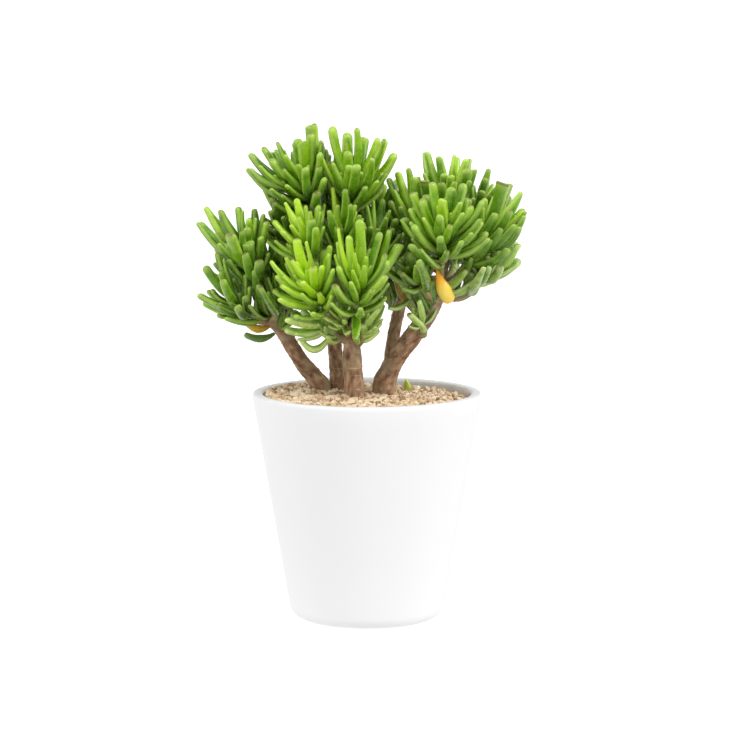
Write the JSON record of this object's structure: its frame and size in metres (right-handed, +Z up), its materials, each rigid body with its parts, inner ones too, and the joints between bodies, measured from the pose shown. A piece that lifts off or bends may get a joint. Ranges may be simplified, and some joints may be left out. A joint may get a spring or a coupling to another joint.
{
  "type": "potted jade succulent",
  "caption": "Branching jade succulent with finger-shaped leaves, woody trunks and gravel, in a plain white tapered pot that stands on a flat foot.",
  "frame": {"origin": "centre of the flat underside of the pot", "axes": "+Z up the pot to the top of the plant, -Y towards the viewer's side, +X to that viewer's right"},
  "size_m": [0.2534, 0.1922, 0.3864],
  "materials": {
    "glaze": "white gloss glaze",
    "soil": "damp potting soil",
    "gravel": "matte tan pebbles",
    "bark": "matte brown bark",
    "leaf": "waxy bright green",
    "orange_leaf": "waxy orange",
    "yellow_leaf": "waxy dull yellow",
    "brown_leaf": "waxy yellow-brown",
    "dark_leaf": "waxy dark green",
    "pale_leaf": "waxy pale green"
  },
  "bodies": {
    "root": {"pot": "glaze", "soil": "soil", "gravel": "gravel", "trunk_left": "bark", "trunk_back": "bark", "trunk_centre": "bark", "trunk_right": "bark", "shoot_left_1": "leaf", "shoot_left_2": "leaf", "shoot_left_3": "leaf", "shoot_left_4": "leaf", "shoot_left_5": "leaf", "shoot_left_6": "leaf", "shoot_top_1": "leaf", "shoot_top_2": "leaf", "shoot_top_3": "leaf", "shoot_top_4": "leaf", "shoot_top_5": "leaf", "shoot_top_6": "leaf", "shoot_top_7": "leaf", "shoot_centre_1": "leaf", "shoot_centre_2": "leaf", "shoot_centre_3": "leaf", "shoot_centre_4": "leaf", "shoot_centre_5": "leaf", "shoot_centre_6": "leaf", "shoot_centre_7": "leaf", "shoot_centre_8": "leaf", "shoot_centre_9": "leaf", "shoot_right_1": "leaf", "shoot_right_2": "leaf", "shoot_right_3": "leaf", "shoot_right_4": "leaf", "shoot_right_5": "leaf", "shoot_right_6": "leaf", "shoot_right_7": "leaf", "shoot_right_8": "leaf", "shoot_right_9": "leaf", "shoot_right_10": "leaf", "shoot_right_11": "leaf", "shoot_right_12": "leaf", "shoot_right_13": "leaf", "leaf_orange": "orange_leaf", "leaf_yellow": "yellow_leaf", "leaf_brown": "brown_leaf", "leaf_low": "dark_leaf", "leaf_fallen": "pale_leaf"}
  },
  "joints": []
}
